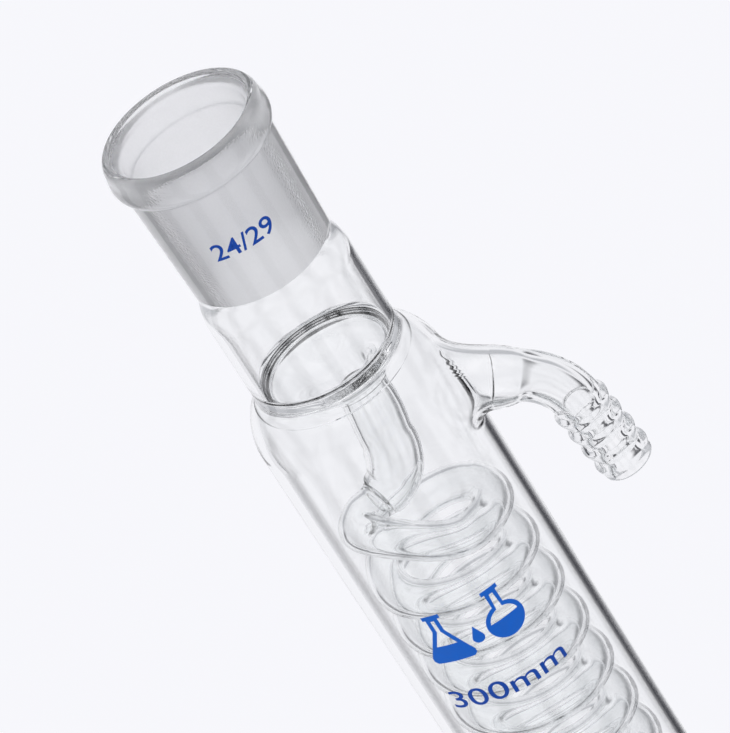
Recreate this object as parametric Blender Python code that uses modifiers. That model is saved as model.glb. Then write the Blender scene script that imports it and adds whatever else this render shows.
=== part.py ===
"""Glass coil condenser with a ground socket at the top and a ground cone with a drip tip below.

The object stands upright: +Z runs up the water jacket and the origin is under the drip tip. The
upper hose arm points to +X and the lower one to -X. Lengths are in millimetres until they reach
a mesh, where MM turns them into metres.
"""

import math

import bmesh
import bpy
from mathutils import Matrix, Vector

MM = 0.001
GAP = 0.3                 # left between fused neighbours
ROUND_STEPS = 32          # facets round a turned piece
SHOULDER_POINTS = 6

# Standard ground joint 24/29: 24 mm across the wide end, 29 mm long, taper one in ten.
JOINT_WIDE = 24.0
JOINT_LENGTH = 29.0
JOINT_NARROW = JOINT_WIDE - JOINT_LENGTH / 10

# Heights of the stack, from the drip tip up.
TIP_LENGTH = 26.0
STEM_LENGTH = 22.0
JACKET_LENGTH = 300.0
NECK_LENGTH = 23.5
SOCKET_LENGTH = 31.6
LOWER_RING = TIP_LENGTH + JOINT_LENGTH + STEM_LENGTH
UPPER_RING = LOWER_RING + JACKET_LENGTH
SOCKET_BASE = UPPER_RING + NECK_LENGTH

# Radii of the turned pieces.
JACKET_RADIUS = 19.0
JACKET_WALL = 1.6
NECK_RADIUS = 14.5
NECK_WALL = 1.6
SOCKET_BASE_RADIUS = 13.35
LIP_BORE = 13.25
STEM_RADIUS = 11.0
STEM_WALL = 1.6
CONE_WALL = 2.2
TIP_RADIUS = 5.2
TIP_BORE = 3.7
TIP_SLANT = math.radians(30)

# Ring seals: a bead of solid glass where the jacket, the neck and the floor are fused.
RING_HALF_WIDTH = 1.45
RING_HALF_HEIGHT = 1.7
UPPER_RING_RADIUS = 13.95
LOWER_RING_RADIUS = 10.6

# Floor of the neck, a shallow dish that is drawn down into the lead tube.
FLOOR_DEPTH = 8.2
FLOOR_WALL = 1.3
FLOOR_LEAN = 2.3          # how far the spout stands off the axis
LEAN_AZIMUTH = math.radians(20)

# Coil: a left-handed helix of hollow tube.
COIL_RADIUS = 12.2
COIL_PITCH = 10.4
COIL_START = 242.0        # degrees round +Z
COIL_SWEEP = 21 * 360.0 + 56.0
COIL_DROP = 38.0          # first turn's height below the upper ring, were it a plain helix
COIL_LIFT = 5.6           # how much higher the tube really starts
COIL_EASE = 75.0          # degrees over which that lift dies away
COIL_STEP = 30.0
TUBE_RADIUS = 3.6
TUBE_WALL = 1.0
LEAD_RADIUS = 4.5
LEAD_WALL = 1.1
SEAM_STRAIGHT = 1.2

# Hose arms, in the plane of the arm: distance from the axis and depth below the shoulder's ring.
NIPPLE_BASE = 12.0
NIPPLE_END = 24.0
NIPPLE_BASE_RADIUS = 9.6
NIPPLE_END_RADIUS = 5.8
NIPPLE_WALL = 1.7
NIPPLE_DROP = 15.3
NIPPLE_SLOPE = math.radians(20)
ARM_RADIUS = 4.65
ARM_BORE = 2.6
ARM_STRAIGHT = 3.9
ARM_BEND_RADIUS = 12.0
ARM_END_SLOPE = math.radians(82)
BARB_LENGTH = 17.0
BARB_COUNT = 4
BARB_ROOT = 4.5
BARB_CREST = 5.4
BARB_TIP = 4.3
LOWER_ARM_HEIGHT = 30.0   # of the lower nipple's root above the lower ring


def clear_scene():
    for item in list(bpy.data.objects):
        bpy.data.objects.remove(item, do_unlink=True)


def new_collection(name):
    group = bpy.data.collections.new(name)
    bpy.context.scene.collection.children.link(group)
    return group


def glass(name, colour, roughness):
    material = bpy.data.materials.new(name)
    material.use_nodes = True
    shader = material.node_tree.nodes["Principled BSDF"]
    shader.inputs["Base Color"].default_value = (*colour, 1.0)
    shader.inputs["Roughness"].default_value = roughness
    shader.inputs["Metallic"].default_value = 0.0
    shader.inputs["IOR"].default_value = 1.473
    shader.inputs["Transmission Weight"].default_value = 1.0
    return material


def put(name, mesh, group, material=None):
    item = bpy.data.objects.new(name, mesh)
    group.objects.link(item)
    if material:
        mesh.materials.append(material)
    return item


def hide_helper(item):
    item.hide_render = True
    item.display_type = "WIRE"


def arc(centre, radii, start, end, count):
    """Points of an ellipse's arc; angles in degrees, 0 towards +X and 90 towards +Z."""
    points = []
    for step in range(count + 1):
        angle = math.radians(start + (end - start) * step / count)
        points.append((centre[0] + radii[0] * math.cos(angle), centre[1] + radii[1] * math.sin(angle)))
    return points


def turned(name, outline, height, group, material=None):
    """A closed outline of (radius, z), down the outside and up the inside, turned round +Z."""
    mesh = bpy.data.meshes.new(name)
    points = [(radius * MM, 0.0, z * MM) for radius, z in outline]
    edges = [(index, (index + 1) % len(points)) for index in range(len(points))]
    mesh.from_pydata(points, edges, [])
    item = put(name, mesh, group, material)
    item.location.z = height * MM
    screw = item.modifiers.new("turn", "SCREW")
    screw.steps = ROUND_STEPS
    screw.render_steps = ROUND_STEPS
    screw.use_merge_vertices = False
    screw.use_smooth_shade = True
    return item


def turned_solid(name, outline, height, group):
    """An open outline of (radius, z) from the axis back to the axis, turned into a full solid."""
    mesh = bpy.data.meshes.new(name)
    points = [(radius * MM, 0.0, z * MM) for radius, z in outline]
    edges = [(index, index + 1) for index in range(len(points) - 1)]
    mesh.from_pydata(points, edges, [])
    item = put(name, mesh, group)
    item.location.z = height * MM
    screw = item.modifiers.new("turn", "SCREW")
    screw.steps = ROUND_STEPS
    screw.render_steps = ROUND_STEPS
    screw.use_merge_vertices = True
    screw.merge_threshold = 0.00001
    screw.use_smooth_shade = True
    return item


def baked(item):
    """Replaces an object's mesh or curve by its evaluated mesh, with the caps' loose seams welded."""
    graph = bpy.context.evaluated_depsgraph_get()
    mesh = bpy.data.meshes.new_from_object(item.evaluated_get(graph))
    shape = bmesh.new()
    shape.from_mesh(mesh)
    bmesh.ops.remove_doubles(shape, verts=shape.verts, dist=0.00001)
    shape.to_mesh(mesh)
    shape.free()
    solid = bpy.data.objects.new(item.name, mesh)
    solid.matrix_world = item.matrix_world.copy()
    for group in item.users_collection:
        group.objects.link(solid)
    name = item.name
    bpy.data.objects.remove(item, do_unlink=True)
    solid.name = name
    return solid


def boolean(item, operation, other):
    modifier = item.modifiers.new(operation.lower() + "_" + other.name, "BOOLEAN")
    modifier.operation = operation
    modifier.solver = "EXACT"
    modifier.object = other
    hide_helper(other)


def bent_rod(name, route, radii, group, material=None, capped=True):
    """A round rod along a route in millimetres, with its own radius at each point."""
    curve = bpy.data.curves.new(name, "CURVE")
    curve.dimensions = "3D"
    curve.bevel_depth = MM
    curve.bevel_resolution = 2
    curve.use_fill_caps = capped
    spline = curve.splines.new("POLY")
    spline.points.add(len(route) - 1)
    for point, place, radius in zip(spline.points, route, radii):
        point.co = (*(Vector(place) * MM), 1.0)
        point.radius = radius
    if material:
        curve.materials.append(material)
    item = bpy.data.objects.new(name, curve)
    group.objects.link(item)
    bpy.context.view_layer.update()
    return baked(item)


def bent_tube(name, route, radii, wall, group, material):
    """A tube of even wall, open at both ends."""
    item = bent_rod(name, route, radii, group, material, capped=False)
    shell = item.modifiers.new("wall", "SOLIDIFY")
    shell.thickness = wall * MM
    shell.offset = -1.0
    shell.use_rim = True
    return item


def ring_seal(name, radius, height, group, material):
    outline = arc((radius, 0.0), (RING_HALF_WIDTH, RING_HALF_HEIGHT), 90, -270, 12)[:-1]
    return turned(name, outline, height, group, material)


def socket_joint(group, material):
    """Ground socket: a thick rolled rim over a tapered wall that is ground inside."""
    top = SOCKET_LENGTH
    rim = [(14.0, top), (14.8, top), (15.1, top - 0.5), (15.25, top - 1.6), (15.45, top - 3.0)]
    rim += [(15.55, top - 4.4), (15.4, top - 5.5), (14.9, top - 6.5)]
    body = [(14.1, top - 7.2), (SOCKET_BASE_RADIUS, GAP / 2)]
    ground = [(JOINT_NARROW / 2, GAP / 2), (JOINT_WIDE / 2, JOINT_LENGTH)]
    mouth = [(LIP_BORE, top - 1.6), (LIP_BORE + 0.2, top - 0.5)]
    return turned("socket_joint", rim + body + ground + mouth, SOCKET_BASE, group, material)


def flare(low_radius, high_radius, low, high, count):
    """Points of a smooth step from one radius to another, from high down to low."""
    points = []
    for step in range(count + 1):
        share = step / count
        smooth = share * share * (3 - 2 * share)
        points.append((high_radius + (low_radius - high_radius) * smooth, high + (low - high) * share))
    return points


def vapour_neck(group, material):
    base = RING_HALF_HEIGHT + GAP
    top = NECK_LENGTH - GAP / 2
    outer = flare(NECK_RADIUS, SOCKET_BASE_RADIUS, top - 5.0, top, 4) + [(NECK_RADIUS, base)]
    bore = NECK_RADIUS - NECK_WALL
    inner = [(bore, base)] + flare(bore, JOINT_NARROW / 2, top - 5.5, top, 4)[::-1]
    return turned("vapour_neck", outer + inner, UPPER_RING, group, material)


def dish(name, rim_radius, height, upright, group, material):
    """A dished floor whose middle is drawn out into an off-centre spout.

    Upright, the spout points down; otherwise the dish is turned over to close the stem."""
    deep = FLOOR_DEPTH
    upper = [(rim_radius, 0.7), (rim_radius * 0.9, 0.0), (7.6, -2.2)]
    upper += [(5.2, -3.6), (3.8, -5.4), (LEAD_RADIUS - LEAD_WALL, -deep)]
    lower = [(LEAD_RADIUS, -deep), (5.0, -5.6), (6.2, -4.4), (8.0, -3.5)]
    lower += [(rim_radius * 0.9, -FLOOR_WALL), (rim_radius, 0.7 - FLOOR_WALL)]
    item = turned(name, lower[::-1] + upper[::-1], 0.0, group, material)
    item = baked(item)
    for vertex in item.data.vertices:
        share = min(1.0, max(0.0, -vertex.co.z / (deep * MM)))
        vertex.co.x += FLOOR_LEAN * MM * share * math.cos(LEAN_AZIMUTH)
        vertex.co.y += FLOOR_LEAN * MM * share * math.sin(LEAN_AZIMUTH)
    if not upright:
        item.rotation_euler.y = math.pi
    item.location.z = height * MM
    return item


def outlet_stem(group, material):
    base = TIP_LENGTH + JOINT_LENGTH
    low = GAP / 2
    high = STEM_LENGTH - RING_HALF_HEIGHT - GAP
    wide = JOINT_WIDE / 2
    bore = STEM_RADIUS - STEM_WALL
    outer = [(STEM_RADIUS, high)] + flare(wide, STEM_RADIUS, low, low + 5.0, 4)
    inner = flare(wide - CONE_WALL, bore, low, low + 5.0, 4)[::-1] + [(bore, high)]
    return turned("outlet_stem", outer + inner, base, group, material)


def cone_joint(group, material):
    low = GAP / 2
    high = JOINT_LENGTH - GAP / 2
    wide = JOINT_WIDE / 2
    narrow = JOINT_NARROW / 2
    outline = [(wide, high), (narrow, low), (narrow - CONE_WALL, low), (wide - CONE_WALL, high)]
    return turned("cone_joint", outline, TIP_LENGTH, group, material)


def drip_tip(group, cutters, material):
    """The cone's narrow end drawn in to a small tube that is cut off at a slant."""
    top = TIP_LENGTH - GAP / 2
    narrow = JOINT_NARROW / 2
    neck_top = top - 9.0
    bore = narrow - CONE_WALL
    outer = [(narrow, top)] + flare(TIP_RADIUS + 0.6, narrow, neck_top, top - 1.0, 5)
    outer += [(TIP_RADIUS, neck_top - 3.0), (TIP_RADIUS, -2.0)]
    inner = [(TIP_BORE, -2.0), (TIP_BORE, neck_top - 2.0)]
    inner += flare(TIP_BORE + 0.8, bore, neck_top + 0.6, top - 1.6, 5)[::-1] + [(bore, top)]
    item = turned("drip_tip", outer + inner, 0.0, group, material)
    block = bmesh.new()
    bmesh.ops.create_cube(block, size=40 * MM)
    mesh = bpy.data.meshes.new("tip_cutter")
    block.to_mesh(mesh)
    block.free()
    cutter = put("tip_cutter", mesh, cutters)
    down = Vector((-math.sin(TIP_SLANT), 0.0, -math.cos(TIP_SLANT)))
    cutter.matrix_world = (
        Matrix.Translation(Vector((TIP_RADIUS * MM, 0.0, 0.0)) + down * 20 * MM)
        @ Matrix.Rotation(TIP_SLANT, 4, "Y")
    )
    boolean(item, "DIFFERENCE", cutter)
    return item


def arm_frame(height, azimuth):
    """Places arm coordinates (out from the axis, sideways, up) at a height and azimuth."""
    return Matrix.Translation((0, 0, height * MM)) @ Matrix.Rotation(azimuth, 4, "Z")


def nipple_cone(name, radii, reach, frame, group):
    """A cone along the sloping axis of a hose arm, from one distance off the axis to another."""
    length = (reach[1] - reach[0]) / math.cos(NIPPLE_SLOPE) * MM
    shape = bmesh.new()
    bmesh.ops.create_cone(
        shape,
        cap_ends=True,
        segments=20,
        radius1=radii[0] * MM,
        radius2=radii[1] * MM,
        depth=length,
    )
    mesh = bpy.data.meshes.new(name)
    shape.to_mesh(mesh)
    shape.free()
    item = put(name, mesh, group)
    middle = (reach[0] + reach[1]) / 2
    drop = NIPPLE_DROP + (middle - JACKET_RADIUS) * math.tan(NIPPLE_SLOPE)
    item.matrix_world = (
        frame
        @ Matrix.Translation((middle * MM, 0, -drop * MM))
        @ Matrix.Rotation(math.pi / 2 + NIPPLE_SLOPE, 4, "Y")
    )
    return item


def shoulder(end_radius, wall, end_height, sign):
    """A rounded shoulder of the jacket, from its fused end out to the straight wall."""
    centre = end_radius - 4.4
    across = JACKET_RADIUS - centre
    lean = math.acos(4.4 / across)
    tall = 9.0 / math.sin(lean)
    middle = end_height - sign * 9.0
    start = math.degrees(lean)
    points = arc((centre, middle), (across - wall, sign * (tall - wall)), start, 0, SHOULDER_POINTS)
    return points


def water_jacket(group, cutters, material):
    """The outer tube: rounded in at both ends, with a nipple drawn out of its wall for each arm."""
    low = RING_HALF_HEIGHT + GAP
    high = JACKET_LENGTH - low
    upper_end = UPPER_RING_RADIUS + 0.45
    lower_end = LOWER_RING_RADIUS + 0.45
    top = shoulder(upper_end, 0.0, high, 1)
    bottom = shoulder(lower_end, 0.0, low, -1)[::-1]
    outside = [(0.0, high)] + top + bottom + [(0.0, low)]
    item = turned_solid("water_jacket", outside, LOWER_RING, group)
    item.data.materials.append(material)
    inner_top = shoulder(upper_end, JACKET_WALL, high, 1)
    inner_bottom = shoulder(lower_end, JACKET_WALL, low, -1)[::-1]
    over = 3.0
    inside = [(0.0, high + over), (inner_top[0][0], high + over)] + inner_top
    inside += inner_bottom + [(inner_bottom[-1][0], low - over), (0.0, low - over)]
    hollow = turned_solid("jacket_hollow", inside, LOWER_RING, cutters)
    bores = []
    for name, height, azimuth in arm_places():
        frame = arm_frame(height, azimuth)
        radii = (NIPPLE_BASE_RADIUS, NIPPLE_END_RADIUS)
        cone = nipple_cone(name + "_nipple", radii, (NIPPLE_BASE, NIPPLE_END), frame, cutters)
        boolean(item, "UNION", cone)
        slimmer = (radii[0] - NIPPLE_WALL, radii[1] - NIPPLE_WALL - 0.3)
        bore = nipple_cone(name + "_bore", slimmer, (NIPPLE_BASE, NIPPLE_END + 1.0), frame, cutters)
        bores.append(bore)
    boolean(item, "DIFFERENCE", hollow)
    for bore in bores:
        boolean(item, "DIFFERENCE", bore)
    return item


def arm_places():
    """Name, height of the reference ring and azimuth of each hose arm."""
    return (
        ("upper", UPPER_RING, 0.0),
        ("lower", LOWER_RING + LOWER_ARM_HEIGHT + NIPPLE_DROP, math.pi),
    )


def arm_route():
    """Centre line of a hose arm in its own plane, with the outer radius at each point."""
    start = Vector((NIPPLE_END, 0, -NIPPLE_DROP - (NIPPLE_END - JACKET_RADIUS) * math.tan(NIPPLE_SLOPE)))
    heading = Vector((math.cos(NIPPLE_SLOPE), 0, -math.sin(NIPPLE_SLOPE)))
    stations = [(start + heading * GAP, NIPPLE_END_RADIUS)]
    for share in (0.35, 0.7):
        radius = NIPPLE_END_RADIUS + (ARM_RADIUS - NIPPLE_END_RADIUS) * share
        stations.append((start + heading * ARM_STRAIGHT * share, radius))
    bend_start = start + heading * ARM_STRAIGHT
    centre = bend_start + ARM_BEND_RADIUS * Vector((-math.sin(NIPPLE_SLOPE), 0, -math.cos(NIPPLE_SLOPE)))
    turns = 6
    for step in range(turns + 1):
        slope = NIPPLE_SLOPE + (ARM_END_SLOPE - NIPPLE_SLOPE) * step / turns
        place = centre + ARM_BEND_RADIUS * Vector((math.sin(slope), 0, math.cos(slope)))
        stations.append((place, ARM_RADIUS))
    barb_start = stations[-1][0]
    down = Vector((math.cos(ARM_END_SLOPE), 0, -math.sin(ARM_END_SLOPE)))
    tooth = BARB_LENGTH / BARB_COUNT
    for index in range(BARB_COUNT):
        for share, radius in ((0.25, BARB_CREST), (0.55, BARB_CREST - 0.2), (0.95, BARB_ROOT)):
            stations.append((barb_start + down * tooth * (index + share), radius))
    stations[-1] = (barb_start + down * BARB_LENGTH, BARB_TIP)
    return stations


def hose_arm(name, height, azimuth, group, cutters, material):
    """A bent side tube that ends in a serrated hose barb, bored from end to end."""
    stations = arm_route()
    route = [place for place, radius in stations]
    item = bent_rod(name, route, [radius for place, radius in stations], group, material)
    longer = [route[0] + (route[0] - route[1]).normalized() * 2.0]
    longer += route
    longer += [route[-1] + (route[-1] - route[-2]).normalized() * 2.0]
    bore_radii = [NIPPLE_END_RADIUS - NIPPLE_WALL - 0.3] * 2 + [3.6, 3.0]
    bore_radii += [ARM_BORE] * (len(longer) - len(bore_radii))
    bore = bent_rod(name + "_bore", longer, bore_radii, cutters)
    for solid in (item, bore):
        solid.matrix_world = arm_frame(height, azimuth)
    boolean(item, "DIFFERENCE", bore)
    return item


def helix_place(angle):
    """Centre of the coil's tube, at degrees round +Z counted on from its first regular turn."""
    turned_by = angle - COIL_START
    left = COIL_START + COIL_SWEEP - angle
    lift = 0.0
    if turned_by < COIL_EASE:
        share = turned_by / COIL_EASE
        lift = COIL_LIFT * (1 - share * share * (3 - 2 * share))
    if left < COIL_EASE:
        share = left / COIL_EASE
        lift = -COIL_LIFT * (1 - share * share * (3 - 2 * share))
    around = math.radians(angle)
    z = UPPER_RING - COIL_DROP - COIL_PITCH * turned_by / 360 + lift
    return Vector((COIL_RADIUS * math.cos(around), COIL_RADIUS * math.sin(around), z))


def helix_route():
    """The regular turns, with closer points where the tube rises into its leads."""
    fine = COIL_STEP / 2
    ease_steps = round(COIL_EASE / fine)
    first = [COIL_START + fine * step for step in range(ease_steps)]
    last = [COIL_START + COIL_SWEEP - fine * step for step in range(ease_steps)][::-1]
    low = COIL_START + fine * ease_steps
    high = COIL_START + COIL_SWEEP - fine * ease_steps
    steps = round((high - low) / COIL_STEP)
    middle = [low + (high - low) * step / steps for step in range(steps + 1)]
    return [helix_place(angle) for angle in first + middle + last]


def smooth_route(keys, per_span):
    """A Catmull-Rom curve through the inner keys; the first and last only set its direction."""
    points = []
    for a, b, c, d in zip(keys, keys[1:], keys[2:], keys[3:]):
        for step in range(per_span):
            t = step / per_span
            square = (2 * a - 5 * b + 4 * c - d) * t * t
            cube = (3 * b - a - 3 * c + d) * t * t * t
            points.append(0.5 * (2 * b + (c - a) * t + square + cube))
    points.append(keys[-2])
    return points


def lead_keys():
    """From the spout to the seam, then the coil's bend: sideways, back and down from the ring."""
    turn = Matrix.Rotation(LEAN_AZIMUTH, 4, "Z")
    spout_end = -FLOOR_DEPTH - GAP
    lead = [(2.3, 0.0, -5.0), (2.3, 0.0, spout_end), (2.4, 0.0, -13.5), (1.9, 0.0, -19.0)]
    lead += [(1.2, 0.1, -24.0), (-0.8, 0.3, -28.4), (-3.6, 0.4, -30.6), (-6.2, 0.0, -31.3)]
    bend = [(-9.7, -1.8, -31.0), (-11.2, -4.9, -31.2)]
    return [turn @ Vector(place) for place in lead], [turn @ Vector(place) for place in bend]


def turned_over(place):
    """A key of the upper lead brought to the lower end, where the lead is a little shorter."""
    reach = UPPER_RING - helix_place(COIL_START).z
    room = helix_place(COIL_START + COIL_SWEEP).z - LOWER_RING
    fixed = FLOOR_DEPTH + GAP
    depth = fixed + (-place.z - fixed) * (room - fixed) / (reach - fixed)
    return Vector((-place.x, place.y, LOWER_RING + depth))


def seam_of(lead, bend):
    """The seam's place and the direction in which the tube runs through it, towards the coil."""
    return lead[-1], (bend[0] - lead[-2]).normalized()


def lead_tube(name, lead, bend, group, material):
    """The tube from a spout to the seam, drawn down to the coil's size on the way."""
    seam, heading = seam_of(lead, bend)
    keys = lead[:-1] + [seam - heading * SEAM_STRAIGHT, seam]
    route = smooth_route(keys, 2) + [seam - heading * GAP / 2]
    radii = []
    for step in range(len(route)):
        share = max(0.0, 2.0 * step / (len(route) - 1) - 1.0)
        radii.append(LEAD_RADIUS + (TUBE_RADIUS - LEAD_RADIUS) * share)
    return bent_tube(name, route, radii, LEAD_WALL, group, material)


def coil_end(lead, bend, first, second):
    """The coil's tube from the seam up to, but not including, the helix's first place."""
    seam, heading = seam_of(lead, bend)
    keys = [seam, seam + heading * SEAM_STRAIGHT] + bend + [first, second]
    return [seam + heading * GAP / 2] + smooth_route(keys, 2)[:-1]


def coil(upper, lower, group, material):
    """Twenty-one turns of tube and the bends that bring it in to both seams."""
    turns = helix_route()
    route = coil_end(*upper, turns[0], turns[1]) + turns
    route += coil_end(*lower, turns[-1], turns[-2])[::-1]
    return bent_tube("coil", route, [TUBE_RADIUS] * len(route), TUBE_WALL, group, material)


def main():
    clear_scene()
    parts = new_collection("coil_condenser")
    cutters = new_collection("cutters")
    clear = glass("clear_glass", (0.96, 0.98, 0.98), 0.0)
    ground = glass("ground_glass", (0.93, 0.94, 0.95), 0.5)
    socket_joint(parts, ground)
    vapour_neck(parts, clear)
    ring_seal("upper_ring_seal", UPPER_RING_RADIUS, UPPER_RING, parts, clear)
    floor_rim = UPPER_RING_RADIUS - RING_HALF_WIDTH - GAP
    dish("neck_floor", floor_rim, UPPER_RING, True, parts, clear)
    upper = lead_keys()
    lower = [[turned_over(place) for place in keys] for keys in upper]
    upper = [[place + Vector((0, 0, UPPER_RING)) for place in keys] for keys in upper]
    lead_tube("upper_lead_tube", *upper, parts, clear)
    coil(upper, lower, parts, clear)
    lead_tube("lower_lead_tube", *lower, parts, clear)
    stem_rim = LOWER_RING_RADIUS - RING_HALF_WIDTH - GAP
    dish("stem_ceiling", stem_rim, LOWER_RING, False, parts, clear)
    ring_seal("lower_ring_seal", LOWER_RING_RADIUS, LOWER_RING, parts, clear)
    water_jacket(parts, cutters, clear)
    for name, height, azimuth in arm_places():
        hose_arm(name + "_hose_arm", height, azimuth, parts, cutters, clear)
    outlet_stem(parts, clear)
    cone_joint(parts, ground)
    drip_tip(parts, cutters, clear)


main()
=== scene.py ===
"""Looks of a jacketed glass coil condenser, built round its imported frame.

Each operator blows, draws, grinds or prints one group of pieces. Outlines and routes are in
millimetres, because a glassblower's drawing is, and MM takes them to metres when a mesh is made.
"""

import math

import bmesh
import bpy
from bpy.props import FloatProperty, FloatVectorProperty, IntProperty, PointerProperty
from mathutils import Matrix, Vector, noise


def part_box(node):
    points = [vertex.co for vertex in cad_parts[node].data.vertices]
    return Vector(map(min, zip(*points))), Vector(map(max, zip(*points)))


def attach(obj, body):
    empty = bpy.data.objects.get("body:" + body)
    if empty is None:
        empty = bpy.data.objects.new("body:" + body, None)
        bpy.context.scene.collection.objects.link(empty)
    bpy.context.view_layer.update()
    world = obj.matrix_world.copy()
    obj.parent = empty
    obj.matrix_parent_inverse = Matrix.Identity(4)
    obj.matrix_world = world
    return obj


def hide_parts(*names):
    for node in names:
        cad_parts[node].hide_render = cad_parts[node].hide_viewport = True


bl_info = {
    "name": "Coil Condenser Glassware",
    "version": (1, 0, 0),
    "blender": (4, 5, 0),
    "location": "View3D > Sidebar > Condenser",
    "description": "Makes the blown, drawn and ground glass of a coil condenser",
    "category": "Add Mesh",
}

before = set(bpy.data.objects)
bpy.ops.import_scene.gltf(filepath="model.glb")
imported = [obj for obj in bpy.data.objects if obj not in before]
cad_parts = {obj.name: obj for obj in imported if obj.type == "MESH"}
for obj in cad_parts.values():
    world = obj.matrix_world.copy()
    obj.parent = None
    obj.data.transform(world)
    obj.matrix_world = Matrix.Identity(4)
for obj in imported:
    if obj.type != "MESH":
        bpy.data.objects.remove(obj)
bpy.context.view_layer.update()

MM = 0.001


def middle_between(lower, upper):
    """Height of the fused seam between two stacked nodes, in millimetres."""
    return (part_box(lower)[1].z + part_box(upper)[0].z) / 2 / MM


def centre_height(node):
    low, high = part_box(node)
    return (low.z + high.z) / 2 / MM


# Heights and radii that the frame fixes, in millimetres.
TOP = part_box("socket_joint")[1].z / MM
SOCKET_BASE = middle_between("vapour_neck", "socket_joint")
UPPER_RING = centre_height("upper_ring_seal")
LOWER_RING = centre_height("lower_ring_seal")
STEM_BASE = middle_between("cone_joint", "outlet_stem")
CONE_BASE = middle_between("drip_tip", "cone_joint")
JACKET_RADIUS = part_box("water_jacket")[1].y / MM
NECK_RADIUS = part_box("vapour_neck")[1].y / MM
CONE_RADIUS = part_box("cone_joint")[1].y / MM
RIM_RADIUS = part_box("socket_joint")[1].y / MM

# Standard ground joint: taper one in ten.
JOINT_LENGTH = STEM_BASE - CONE_BASE
JOINT_NARROW = CONE_RADIUS - JOINT_LENGTH / 20

# Turned glass.
FACETS = 192
SAME_PLACE = 0.001
STEM_RADIUS = 11.0
TIP_RADIUS = 5.2
TIP_BORE = 3.7
TIP_SLANT = math.radians(30)
SOCKET_BASE_RADIUS = 13.35
COLLAR_HEIGHT = 7.2
WALL_UNDER_COLLAR = 14.07
SEAL_DEPTH = 2.0          # from the middle of a ring seal to the tube and the jacket it joins
DISH_RIM = 10.9
STEM_DISH_RIM = 7.9
DISH_DEPTH = 8.2
SPOUT_LEAN = 2.3
LEAN_AZIMUTH = math.radians(20)

# Rounded shoulders of the jacket.
SHOULDER_REACH = 4.4
SHOULDER_DEPTH = 9.0
UPPER_SHOULDER = 14.4
LOWER_SHOULDER = 11.05
UPPER_SEAM_ANGLE = 52.0
LOWER_SEAM_ANGLE = 62.0

# Hose arms, in the plane of the arm: distance from the axis and depth below the shoulder's ring.
NIPPLE_END = 24.0
NIPPLE_RADIUS = 5.8
NIPPLE_DROP = 15.3
NIPPLE_SLOPE = math.radians(20)
PATCH_SPANS = 36
PATCH_REACH = 9.8
ARM_RADIUS = 4.65
ARM_STRAIGHT = 3.9
ARM_BEND = 12.0
ARM_END_SLOPE = math.radians(82)
BARB_LENGTH = 17.0
BARB_COUNT = 4
BARB_ROOT = 4.5
LOWER_ARM_HEIGHT = 30.0

# Coil: a left-handed helix of drawn tube.
COIL_START = 242.0
COIL_SWEEP = 21 * 360.0 + 56.0
COIL_DROP = 38.0
COIL_LIFT = 5.6
COIL_EASE = 75.0
COIL_STEP = 6.5
LEAD_RADIUS = 4.5
LEAD_SWELL = 0.6
SEAM_STRAIGHT = 1.2

# Printed marks face a little to the left of the viewer.
PRINT_AZIMUTH = math.radians(-81.5)
PRINT_LIFT = 0.012
PRINT_THICK = 0.03
SIZE_MARK_SHIFT = 1.7
SIZE_MARK_LIFT = 13.1
LENGTH_MARK_DROP = 68.0
EMBLEM_DROP = 53.0

# Studio: azimuth, elevation and roll of the camera, the light of the tent round the set, and how
# many glass surfaces light may pass.
CAMERA_ANGLES = (math.radians(20.0), math.radians(32.5), math.radians(32.4))
TENT_SIDE = (0.5, 0.51, 0.54)
TENT_TOP = (1.3, 1.3, 1.32)
CARD_COLOUR = (0.012, 0.013, 0.021)
UPRIGHT_BEARINGS = (77, 113, 158, 203, 248, 293)
WALLS_IN_A_ROW = 48


# Sizes and finishes ------------------------------------------------------------------------


def length(name, description, default, low, high):
    """A setting in metres."""
    return FloatProperty(
        name=name, description=description, default=default, min=low, max=high, unit="LENGTH"
    )


def colour(name, description, default):
    """A setting for a colour."""
    return FloatVectorProperty(
        name=name, description=description, default=default, subtype="COLOR", min=0.0, max=1.0
    )


class GlasswareSizes(bpy.types.PropertyGroup):
    """Walls and tubes that a glassblower would choose."""

    jacket_wall: length(
        "Jacket wall", "Wall of the water jacket and of the nipples drawn out of it",
        0.0016, 0.0008, 0.003,
    )
    tube_wall: length(
        "Neck and stem wall", "Wall of the vapour neck above and of the outlet stem below",
        0.0016, 0.0008, 0.003,
    )
    dish_wall: length(
        "Dish wall", "Wall of the dished floor of the neck and of the ceiling of the stem",
        0.0013, 0.0006, 0.002,
    )
    coil_radius: length(
        "Coil radius", "From the axis to the middle of the coil's tube",
        0.0122, 0.008, 0.0132,
    )
    coil_pitch: length("Coil pitch", "Rise of the coil in one turn", 0.0104, 0.0085, 0.0106)
    coil_tube: length(
        "Coil tube radius", "Outer radius of the tube that the coil is wound from",
        0.0036, 0.002, 0.004,
    )
    coil_wall: length("Coil tube wall", "Wall of the coil's tube", 0.001, 0.0005, 0.0015)
    arm_bore: length(
        "Hose arm bore", "Radius of the bore through the bent hose arms",
        0.0028, 0.0015, 0.0032,
    )
    barb_crest: length(
        "Barb crest", "Outer radius of a hose barb over its rounded serrations",
        0.0054, 0.0048, 0.0056,
    )
    tube_sides: IntProperty(
        name="Sides of the tubes",
        description="Facets round the drawn tubes",
        default=30,
        min=16,
        max=36,
    )


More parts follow.
